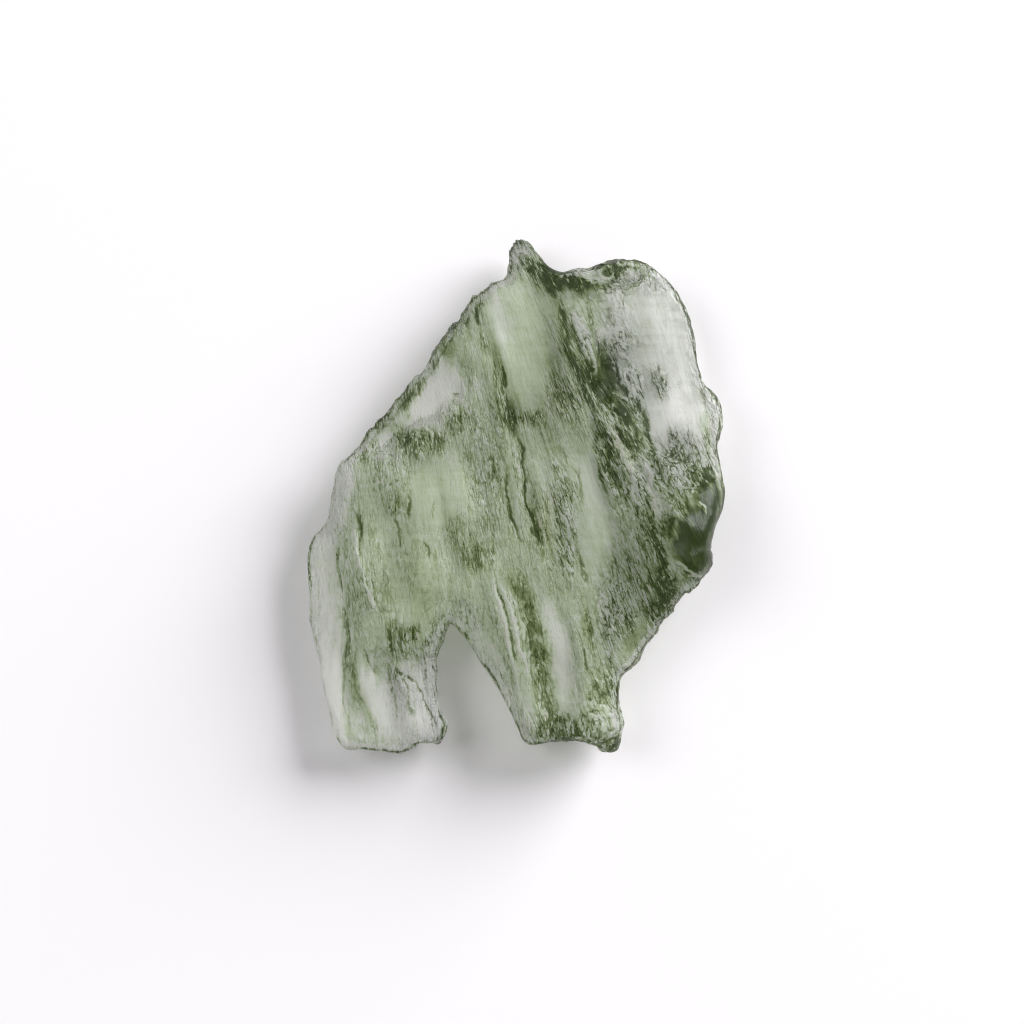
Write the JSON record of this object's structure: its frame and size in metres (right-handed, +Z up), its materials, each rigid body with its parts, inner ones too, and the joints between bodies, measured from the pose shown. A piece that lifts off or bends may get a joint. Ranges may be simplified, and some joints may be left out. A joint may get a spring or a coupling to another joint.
{
  "type": "moldavite",
  "caption": "Flat leafy splash of clear grey-green natural glass, etched and fluted, with a horn on its upper edge and a notch between two feet below, lying on its back.",
  "frame": {"origin": "under the middle of the outline, at the height of the surface that the stone rests on", "axes": "+Z up out of the face, +Y towards the horn, along the longest side, +X across towards the thick lobe"},
  "size_m": [0.0208, 0.0256, 0.0057],
  "materials": {
    "moldavite_glass": "clear grey-green natural glass with an etched, finely wrinkled surface, from satin to glossy"
  },
  "bodies": {
    "root": {"moldavite": "moldavite_glass"}
  },
  "joints": []
}
